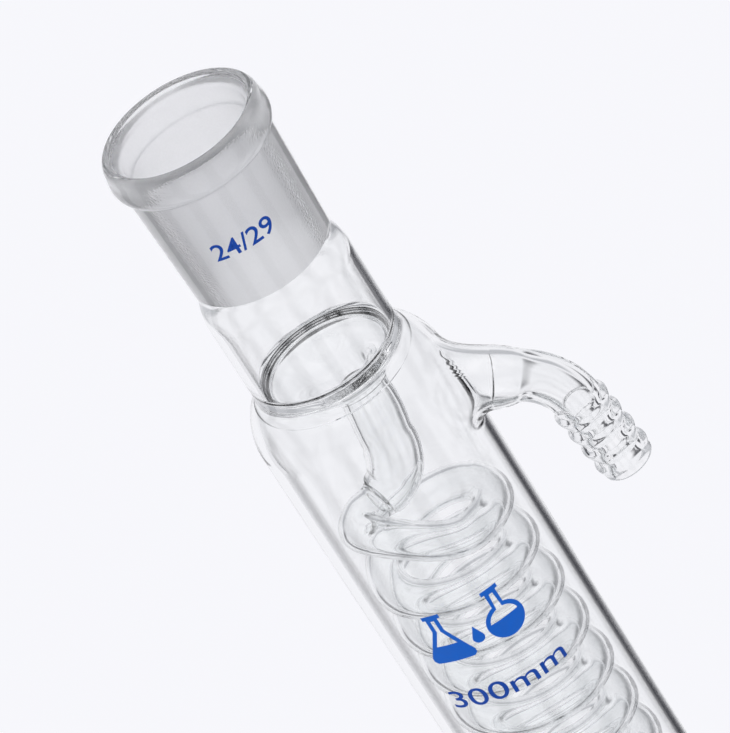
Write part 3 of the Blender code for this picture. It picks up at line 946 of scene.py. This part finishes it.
def wrapped(mesh, azimuth, height, radius_at):
    """Bends a flat mark in the XZ plane round the glass, a little proud of it."""
    shape = bmesh.new()
    shape.from_mesh(mesh)
    left = min(vertex.co.x for vertex in shape.verts)
    right = max(vertex.co.x for vertex in shape.verts)
    strip = 0.35
    for step in range(1, math.ceil((right - left) / strip)):
        everything = list(shape.verts) + list(shape.edges) + list(shape.faces)
        spot = (left + step * strip, 0.0, 0.0)
        bmesh.ops.bisect_plane(shape, geom=everything, plane_co=spot, plane_no=(1.0, 0.0, 0.0))
    bmesh.ops.remove_doubles(shape, verts=shape.verts, dist=0.0005)
    bmesh.ops.triangulate(shape, faces=shape.faces)
    for vertex in shape.verts:
        z = height + vertex.co.y
        radius = radius_at(z) + PRINT_LIFT + max(0.0, vertex.co.z + PRINT_THICK / 2)
        angle = azimuth + vertex.co.x / radius_at(height)
        vertex.co = Vector((radius * math.cos(angle), radius * math.sin(angle), z)) * MM
    face_outwards(shape)
    shape.to_mesh(mesh)
    shape.free()
    return mesh


def baked_curve(curve):
    """The mesh of a text or flat curve, which is then removed."""
    holder = bpy.data.objects.new(curve.name, curve)
    bpy.context.scene.collection.objects.link(holder)
    graph = bpy.context.evaluated_depsgraph_get()
    mesh = bpy.data.meshes.new_from_object(holder.evaluated_get(graph))
    bpy.data.objects.remove(holder, do_unlink=True)
    return mesh


def number_mark(words, height, width, weight):
    """Figures of a set height and width in millimetres, centred, as a thin plate."""
    text = bpy.data.curves.new("number_mark", "FONT")
    text.body = words
    text.align_x = "CENTER"
    text.offset = weight
    text.resolution_u = 6
    mesh = baked_curve(text)
    low = Vector([min(vertex.co[axis] for vertex in mesh.vertices) for axis in range(3)])
    high = Vector([max(vertex.co[axis] for vertex in mesh.vertices) for axis in range(3)])
    across = width / (high.x - low.x)
    up = height / (high.y - low.y)
    centre = (low + high) / 2
    mesh.transform(Matrix.Diagonal((across, up, 1.0, 1.0)) @ Matrix.Translation(-centre))
    return plate(mesh)


def plate(mesh):
    """Gives flat faces a thickness, so that the mark is a closed solid."""
    shape = bmesh.new()
    shape.from_mesh(mesh)
    bmesh.ops.remove_doubles(shape, verts=shape.verts, dist=0.002)
    faces = list(shape.faces)
    for vertex in shape.verts:
        vertex.co.z = -PRINT_THICK / 2
    made = bmesh.ops.extrude_face_region(shape, geom=faces, use_keep_orig=True)
    for part in made["geom"]:
        if isinstance(part, bmesh.types.BMVert):
            part.co.z = PRINT_THICK / 2
    bmesh.ops.recalc_face_normals(shape, faces=shape.faces)
    shape.to_mesh(mesh)
    shape.free()
    return mesh


def flat_mark(name, outlines):
    """A plate with the given outlines; one outline inside another is a hole."""
    curve = bpy.data.curves.new(name, "CURVE")
    curve.dimensions = "2D"
    curve.fill_mode = "BOTH"
    for outline in outlines:
        spline = curve.splines.new("POLY")
        spline.points.add(len(outline) - 1)
        spline.use_cyclic_u = True
        for point, (x, y) in zip(spline.points, outline):
            point.co = (x, y, 0.0, 1.0)
    return plate(baked_curve(curve))


def moved(outline, x, y):
    """An outline set aside by x and y."""
    return [(px + x, py + y) for px, py in outline]


def conical_flask():
    """Outline of a small conical flask, and the empty part above its liquid."""
    right = [(1.7, 5.7), (1.7, 4.8), (1.15, 4.8), (1.15, 1.9), (4.3, -4.3), (4.3, -5.1), (3.7, -5.7)]
    left = [(-x, y) for x, y in reversed(right)]
    empty = [(0.35, 4.4), (0.35, 1.7), (2.05, -1.7), (-2.05, -1.7), (-0.35, 1.7), (-0.35, 4.4)]
    return [right + left, empty]


def round_flask():
    """Outline of a small round flask, and the empty part above its liquid."""
    ball = arc((0, -2.0), (3.8, 3.8), 72, -252, 40)
    neck = [(-1.17, 4.8), (-1.75, 4.8), (-1.75, 5.7), (1.75, 5.7), (1.75, 4.8), (1.17, 4.8)]
    dome = arc((0, -2.0), (2.9, 2.9), 78, 10, 12) + arc((0, -2.0), (2.9, 2.9), 170, 102, 12)
    return [ball + neck, dome + [(-0.38, 4.4), (0.38, 4.4)]]


def falling_drop():
    """Outline of a drop."""
    body = arc((0, -0.9), (1.15, 1.15), 20, -200, 24)
    return [body + [(0.0, 1.9)]]


def emblem_outlines():
    """Two flasks with a drop between them."""
    flask = [moved(outline, -5.9, 0.0) for outline in conical_flask()]
    drop = [moved(outline, 0.0, -1.6) for outline in falling_drop()]
    bulb = [moved(outline, 5.9, 0.0) for outline in round_flask()]
    return flask + drop + bulb


def jacket_surface(z):
    """Outer radius of the jacket, the same at every height."""
    return JACKET_RADIUS


def socket_surface(z):
    """Outer radius of the socket's tapered wall at a height."""
    share = (z - SOCKET_BASE) / (TOP - COLLAR_HEIGHT - SOCKET_BASE)
    return SOCKET_BASE_RADIUS + (WALL_UNDER_COLLAR - SOCKET_BASE_RADIUS) * share


def printed(name, mesh, height, surface, material):
    """Fires a mark on the glass and puts it in the scene."""
    mesh = wrapped(mesh, PRINT_AZIMUTH, height, surface)
    mesh.materials.clear()
    mesh.materials.append(material)
    piece = bpy.data.objects.new(name, mesh)
    bpy.context.scene.collection.objects.link(piece)
    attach(piece, "root")
    return piece


# Materials ---------------------------------------------------------------------------------


def new_material(name):
    """A material with one Principled shader."""
    material = bpy.data.materials.new(name)
    material.use_nodes = True
    nodes = material.node_tree.nodes
    return material, nodes, material.node_tree.links.new, nodes["Principled BSDF"]


def textured(nodes, link, scale, detail, stretch=(1.0, 1.0, 1.0)):
    """Noise on the object's own coordinates, stretched along the axis where glass is drawn."""
    place_at = nodes.new("ShaderNodeTexCoord")
    mapping = nodes.new("ShaderNodeMapping")
    mapping.inputs["Scale"].default_value = stretch
    grain = nodes.new("ShaderNodeTexNoise")
    grain.inputs["Scale"].default_value = scale
    grain.inputs["Detail"].default_value = detail
    link(place_at.outputs["Object"], mapping.inputs["Vector"])
    link(mapping.outputs["Vector"], grain.inputs["Vector"])
    return grain.outputs["Fac"]


def between(nodes, link, value, low, high):
    """A colour that runs from low to high with a value."""
    ramp = nodes.new("ShaderNodeValToRGB")
    ramp.color_ramp.elements[0].position = 0.35
    ramp.color_ramp.elements[0].color = (*low, 1.0)
    ramp.color_ramp.elements[1].position = 0.65
    ramp.color_ramp.elements[1].color = (*high, 1.0)
    link(value, ramp.inputs["Fac"])
    return ramp.outputs["Color"]


def bumped(nodes, link, value, strength, distance):
    bump = nodes.new("ShaderNodeBump")
    bump.inputs["Strength"].default_value = strength
    bump.inputs["Distance"].default_value = distance
    link(value, bump.inputs["Height"])
    return bump.outputs["Normal"]


def clear_glass(finish):
    """Fire-polished borosilicate glass with the faint waves of a drawn tube."""
    material, nodes, link, shader = new_material("clear_borosilicate")
    shader.inputs["Roughness"].default_value = 0.0
    shader.inputs["IOR"].default_value = 1.473
    shader.inputs["Transmission Weight"].default_value = 1.0
    tint = tuple(finish.glass_tint)
    paler = tuple((1 + channel) / 2 for channel in tint)
    waves = textured(nodes, link, 160.0, 1.0, (1.0, 1.0, 0.16))
    link(between(nodes, link, waves, tint, paler), shader.inputs["Base Color"])
    link(bumped(nodes, link, waves, 0.045, 0.0004), shader.inputs["Normal"])
    return material


def fused_end(finish):
    """Where two pieces are melted into one, light goes straight through but for a faint trace."""
    material, _, _, shader = new_material("fused_end")
    shader.inputs["Base Color"].default_value = (*finish.glass_tint, 1.0)
    shader.inputs["Roughness"].default_value = 1.0
    shader.inputs["Specular IOR Level"].default_value = 0.0
    shader.inputs["Alpha"].default_value = 0.0
    return material


def ground_glass(finish):
    """Fine-ground glass: it lets light through, but scatters all of it."""
    material, nodes, link, shader = new_material("ground_borosilicate")
    shader.inputs["IOR"].default_value = 1.473
    shader.inputs["Transmission Weight"].default_value = 0.82
    grain = textured(nodes, link, 2600.0, 3.0)
    tint = tuple(finish.ground_tint)
    darker = tuple(channel * 0.96 for channel in tint)
    link(between(nodes, link, grain, darker, tint), shader.inputs["Base Color"])
    patches = textured(nodes, link, 240.0, 2.0)
    spread = nodes.new("ShaderNodeMapRange")
    spread.inputs["To Min"].default_value = finish.ground_roughness - 0.06
    spread.inputs["To Max"].default_value = finish.ground_roughness + 0.06
    link(patches, spread.inputs["Value"])
    link(spread.outputs["Result"], shader.inputs["Roughness"])
    link(bumped(nodes, link, grain, 0.35, 0.0001), shader.inputs["Normal"])
    return material


def enamel(name, colour):
    """Glossy blue enamel with the slightly uneven cover of a screen print."""
    material, nodes, link, shader = new_material(name)
    cover = textured(nodes, link, 900.0, 3.0)
    paler = tuple(channel * 0.94 + 0.004 for channel in colour)
    link(between(nodes, link, cover, paler, tuple(colour)), shader.inputs["Base Color"])
    shader.inputs["Roughness"].default_value = 0.5
    shader.inputs["Specular IOR Level"].default_value = 0.25
    link(bumped(nodes, link, cover, 0.2, 0.00004), shader.inputs["Normal"])
    return material


def material_named(name, maker, *settings):
    """A material that several operators share is made once."""
    return bpy.data.materials.get(name) or maker(*settings)


def glass_set(context):
    """Clear glass and fused ends, in the slots that every glass piece has."""
    finish = context.scene.glassware_finish
    clear = material_named("clear_borosilicate", clear_glass, finish)
    return [clear, material_named("fused_end", fused_end, finish)]


def ground_set(context):
    finish = context.scene.glassware_finish
    return glass_set(context) + [material_named("ground_borosilicate", ground_glass, finish)]


# Studio ------------------------------------------------------------------------------------


def studio_floor(studio):
    """A wide pale floor that glows a little, as the acrylic sheet under product glass does."""
    shape = bmesh.new()
    bmesh.ops.create_grid(shape, x_segments=1, y_segments=1, size=4.0)
    mesh = bpy.data.meshes.new("studio_floor")
    shape.to_mesh(mesh)
    shape.free()
    floor = bpy.data.objects.new("studio_floor", mesh)
    floor.location.z = -0.0005
    bpy.context.scene.collection.objects.link(floor)
    material, _, _, shader = new_material("pale_acrylic")
    colour = (*studio.floor_colour, 1.0)
    shader.inputs["Base Color"].default_value = (0.16, 0.16, 0.165, 1.0)
    shader.inputs["Roughness"].default_value = 1.0
    shader.inputs["Specular IOR Level"].default_value = 0.0
    shader.inputs["Emission Color"].default_value = colour
    shader.inputs["Emission Strength"].default_value = 0.875
    mesh.materials.append(material)
    floor.visible_transmission = False
    floor.visible_glossy = False
    return floor


def camera_axes():
    """The camera's right, up and backward directions; it looks down from the front right, and is
    rolled so that the glass leans left."""
    azimuth, elevation, roll = CAMERA_ANGLES
    back = Vector((
        math.sin(azimuth) * math.cos(elevation),
        -math.cos(azimuth) * math.cos(elevation),
        math.sin(elevation),
    ))
    level = Vector((math.cos(azimuth), math.sin(azimuth), 0.0))
    upright = back.cross(level)
    right = level * math.cos(roll) - upright * math.sin(roll)
    up = level * math.sin(roll) + upright * math.cos(roll)
    return right, up, back


def ramped(nodes, link, value, low, high, first=0.0, last=1.0):
    """A smooth step of a number from first at low to last at high."""
    step = nodes.new("ShaderNodeMapRange")
    step.interpolation_type = "SMOOTHSTEP"
    step.inputs["From Min"].default_value = low
    step.inputs["From Max"].default_value = high
    step.inputs["To Min"].default_value = first
    step.inputs["To Max"].default_value = last
    link(value, step.inputs["Value"])
    return step.outputs["Result"]


def multiplied(nodes, link, values):
    """The product of several numbers."""
    product = values[0]
    for value in values[1:]:
        times = nodes.new("ShaderNodeMath")
        times.operation = "MULTIPLY"
        link(product, times.inputs[0])
        link(value, times.inputs[1])
        product = times.outputs["Value"]
    return product


def mixed(nodes, link, share, first, last):
    """A colour between two, each a plain colour or a socket."""
    mix = nodes.new("ShaderNodeMix")
    mix.data_type = "RGBA"
    link(share, mix.inputs["Factor"])
    for label, colour in (("A", first), ("B", last)):
        socket = [item for item in mix.inputs if item.name == label and item.type == "RGBA"][0]
        if isinstance(colour, bpy.types.NodeSocket):
            link(colour, socket)
        else:
            socket.default_value = (*colour, 1.0)
    return [item for item in mix.outputs if item.type == "RGBA"][0]


def along_axis(nodes, link, looking, axis):
    """How far a direction points along an axis, from -1 to 1."""
    dot = nodes.new("ShaderNodeVectorMath")
    dot.operation = "DOT_PRODUCT"
    dot.inputs[1].default_value = axis
    link(looking, dot.inputs[0])
    return dot.outputs["Value"]


def studio_world(studio):
    """A pale tent, greyer above the horizon and with a soft lamp overhead. A dark card low on the
    right of the set and dark uprights round it draw the edges of the glass."""
    world = bpy.data.worlds.new("studio_tent")
    bpy.context.scene.world = world
    world.use_nodes = True
    nodes = world.node_tree.nodes
    link = world.node_tree.links.new
    nodes.clear()
    out = nodes.new("ShaderNodeOutputWorld")
    tent = nodes.new("ShaderNodeBackground")
    looking = nodes.new("ShaderNodeTexCoord").outputs["Generated"]
    right, up, back = camera_axes()
    sideways = along_axis(nodes, link, looking, right)
    upwards = along_axis(nodes, link, looking, up)
    forwards = along_axis(nodes, link, looking, -back)
    height = along_axis(nodes, link, looking, Vector((0, 0, 1)))
    pale = tuple(studio.floor_colour)
    above = mixed(nodes, link, ramped(nodes, link, height, 0.55, 0.9), TENT_SIDE, TENT_TOP)
    tent_colour = mixed(nodes, link, ramped(nodes, link, height, -0.16, 0.08), pale, above)
    card = multiplied(nodes, link, [
        ramped(nodes, link, sideways, 0.17, 0.34),
        ramped(nodes, link, sideways, 0.54, 0.64, 1.0, 0.0),
        ramped(nodes, link, upwards, -0.22, -0.1),
        ramped(nodes, link, upwards, 0.3, 0.42, 1.0, 0.0),
        ramped(nodes, link, forwards, 0.1, 0.2, 0.0, studio.dark_cards),
    ])
    with_card = mixed(nodes, link, card, tent_colour, CARD_COLOUR)
    for bearing in UPRIGHT_BEARINGS:
        away = Vector((-math.sin(math.radians(bearing)), math.cos(math.radians(bearing)), 0))
        beside = away.cross(Vector((0, 0, 1)))
        upright = multiplied(nodes, link, [
            ramped(nodes, link, along_axis(nodes, link, looking, beside), -0.15, -0.08),
            ramped(nodes, link, along_axis(nodes, link, looking, beside), 0.08, 0.15, 1.0, 0.0),
            ramped(nodes, link, along_axis(nodes, link, looking, away), 0.1, 0.2),
            ramped(nodes, link, height, 0.1, 0.25, studio.dark_cards, 0.0),
        ])
        with_card = mixed(nodes, link, upright, with_card, CARD_COLOUR)
    direct = nodes.new("ShaderNodeLightPath").outputs["Is Camera Ray"]
    link(mixed(nodes, link, direct, with_card, pale), tent.inputs["Color"])
    link(tent.outputs["Background"], out.inputs["Surface"])
    return world


def studio_camera(studio):
    """Looks at the top third of the condenser."""
    right, up, back = camera_axes()
    level = Vector((math.cos(CAMERA_ANGLES[0]), math.sin(CAMERA_ANGLES[0]), 0.0))
    target = Vector((0.0, 0.0, (UPPER_RING - 6.4) * MM)) + level * 4.9 * MM
    place_at = target + back * studio.camera_distance
    data = bpy.data.cameras.new("studio_camera")
    data.lens = studio.camera_lens
    data.sensor_width = 36.0
    data.clip_start = 0.05
    data.clip_end = 50.0
    data.dof.use_dof = False
    camera = bpy.data.objects.new("studio_camera", data)
    bpy.context.scene.collection.objects.link(camera)
    turn = Matrix((right, up, back)).transposed().to_4x4()
    camera.matrix_world = Matrix.Translation(place_at) @ turn
    bpy.context.scene.camera = camera
    return camera


# Operators ---------------------------------------------------------------------------------


class GLASSWARE_OT_studio(bpy.types.Operator):
    """Set the floor, the tent of light and the camera"""

    bl_idname = "glassware.studio"
    bl_label = "Studio"

    def execute(self, context):
        studio = context.scene.glassware_studio
        studio_camera(studio)
        studio_floor(studio)
        studio_world(studio)
        scene = context.scene
        scene.view_settings.view_transform = "Standard"
        scene.cycles.max_bounces = WALLS_IN_A_ROW
        scene.cycles.transmission_bounces = WALLS_IN_A_ROW
        scene.cycles.glossy_bounces = WALLS_IN_A_ROW // 2
        scene.cycles.transparent_max_bounces = WALLS_IN_A_ROW
        return {"FINISHED"}


class GLASSWARE_OT_socket(bpy.types.Operator):
    """Turn the ground socket and the neck below it"""

    bl_idname = "glassware.socket"
    bl_label = "Socket and neck"

    def execute(self, context):
        socket_joint(ground_set(context))
        vapour_neck(context.scene.glassware_sizes, glass_set(context))
        return {"FINISHED"}


class GLASSWARE_OT_seals(bpy.types.Operator):
    """Fuse both ring seals, with the dished floor and ceiling inside them"""

    bl_idname = "glassware.seals"
    bl_label = "Ring seals and dishes"

    def execute(self, context):
        sizes = context.scene.glassware_sizes
        glass = glass_set(context)
        wall = sizes.tube_wall / MM
        upper = ring_seal(UPPER_SHOULDER, UPPER_SEAM_ANGLE, NECK_RADIUS, wall, DISH_RIM, sizes)
        mesh = turned("upper_ring_seal_glass", upper, UPPER_RING)
        place("upper_ring_seal_glass", mesh, glass, "upper_ring_seal")
        lower = ring_seal(LOWER_SHOULDER, LOWER_SEAM_ANGLE, STEM_RADIUS, wall, STEM_DISH_RIM, sizes)
        mesh = turned("lower_ring_seal_glass", lower, LOWER_RING, False)
        place("lower_ring_seal_glass", mesh, glass, "lower_ring_seal")
        mesh = dish("neck_floor_glass", DISH_RIM, UPPER_RING, sizes)
        place("neck_floor_glass", mesh, glass, "neck_floor")
        mesh = dish("stem_ceiling_glass", STEM_DISH_RIM, LOWER_RING, sizes, False)
        place("stem_ceiling_glass", mesh, glass, "stem_ceiling")
        return {"FINISHED"}


class GLASSWARE_OT_jacket(bpy.types.Operator):
    """Blow the water jacket and draw its two nipples"""

    bl_idname = "glassware.jacket"
    bl_label = "Water jacket"

    def execute(self, context):
        water_jacket(context.scene.glassware_sizes, glass_set(context))
        return {"FINISHED"}


class GLASSWARE_OT_arms(bpy.types.Operator):
    """Bend the hose arms and press their barbs"""

    bl_idname = "glassware.arms"
    bl_label = "Hose arms"

    def execute(self, context):
        hose_arms(context.scene.glassware_sizes, glass_set(context))
        return {"FINISHED"}


class GLASSWARE_OT_coil(bpy.types.Operator):
    """Wind the coil and draw the leads at both of its ends"""

    bl_idname = "glassware.coil"
    bl_label = "Coil and leads"

    def execute(self, context):
        sizes = context.scene.glassware_sizes
        glass = glass_set(context)
        upper = lead_keys()
        lower = [[turned_over(key, sizes) for key in keys] for keys in upper]
        upper = [[key + Vector((0, 0, UPPER_RING)) for key in keys] for keys in upper]
        lead_tube("upper_lead_tube", *upper, sizes, glass)
        lead_tube("lower_lead_tube", *lower, sizes, glass)
        coil(upper, lower, sizes, glass)
        return {"FINISHED"}


class GLASSWARE_OT_outlet(bpy.types.Operator):
    """Turn the outlet stem, the ground cone and the drip tip"""

    bl_idname = "glassware.outlet"
    bl_label = "Stem, cone and drip tip"

    def execute(self, context):
        outlet_stem(context.scene.glassware_sizes, glass_set(context))
        cone_joint(ground_set(context))
        drip_tip(glass_set(context))
        return {"FINISHED"}


class GLASSWARE_OT_prints(bpy.types.Operator):
    """Fire the joint size, the emblem and the length on the glass"""

    bl_idname = "glassware.prints"
    bl_label = "Printed marks"

    def execute(self, context):
        finish = context.scene.glassware_finish
        deep = enamel("number_enamel", tuple(finish.number_blue))
        bright = enamel("emblem_enamel", tuple(finish.mark_blue))
        size_mark = number_mark("24/29", 3.6, 11.8, 0.01)
        size_mark.transform(Matrix.Translation((SIZE_MARK_SHIFT, 0.0, 0.0)))
        printed("joint_size_mark", size_mark, SOCKET_BASE + SIZE_MARK_LIFT, socket_surface, deep)
        length_mark = number_mark("300mm", 4.2, 23.8, 0.004)
        printed("length_mark", length_mark, UPPER_RING - LENGTH_MARK_DROP, jacket_surface, deep)
        emblem = flat_mark("emblem_mark", emblem_outlines())
        printed("emblem_mark", emblem, UPPER_RING - EMBLEM_DROP, jacket_surface, bright)
        return {"FINISHED"}


class GLASSWARE_PT_panel(bpy.types.Panel):
    """Lists the steps in making the condenser"""

    bl_idname = "GLASSWARE_PT_panel"
    bl_label = "Coil Condenser"
    bl_space_type = "VIEW_3D"
    bl_region_type = "UI"
    bl_category = "Condenser"

    def draw(self, context):
        layout = self.layout
        for operator in STEPS:
            layout.operator(operator.bl_idname)
        for group in ("glassware_sizes", "glassware_finish", "glassware_studio"):
            settings = getattr(context.scene, group)
            for name in settings.__annotations__:
                layout.prop(settings, name)


STEPS = (
    GLASSWARE_OT_studio,
    GLASSWARE_OT_socket,
    GLASSWARE_OT_seals,
    GLASSWARE_OT_jacket,
    GLASSWARE_OT_arms,
    GLASSWARE_OT_coil,
    GLASSWARE_OT_outlet,
    GLASSWARE_OT_prints,
)
GROUPS = (GlasswareSizes, GlasswareFinish, StudioSettings)


def register():
    for item in (*GROUPS, *STEPS, GLASSWARE_PT_panel):
        bpy.utils.register_class(item)
    bpy.types.Scene.glassware_sizes = PointerProperty(type=GlasswareSizes)
    bpy.types.Scene.glassware_finish = PointerProperty(type=GlasswareFinish)
    bpy.types.Scene.glassware_studio = PointerProperty(type=StudioSettings)


def unregister():
    del bpy.types.Scene.glassware_sizes
    del bpy.types.Scene.glassware_finish
    del bpy.types.Scene.glassware_studio
    for item in reversed((*GROUPS, *STEPS, GLASSWARE_PT_panel)):
        bpy.utils.unregister_class(item)


def main():
    """Registers the add-on's classes and makes every piece."""
    register()
    for operator in STEPS:
        section, name = operator.bl_idname.split(".")
        getattr(getattr(bpy.ops, section), name)()


if __name__ == "__main__":
    main()
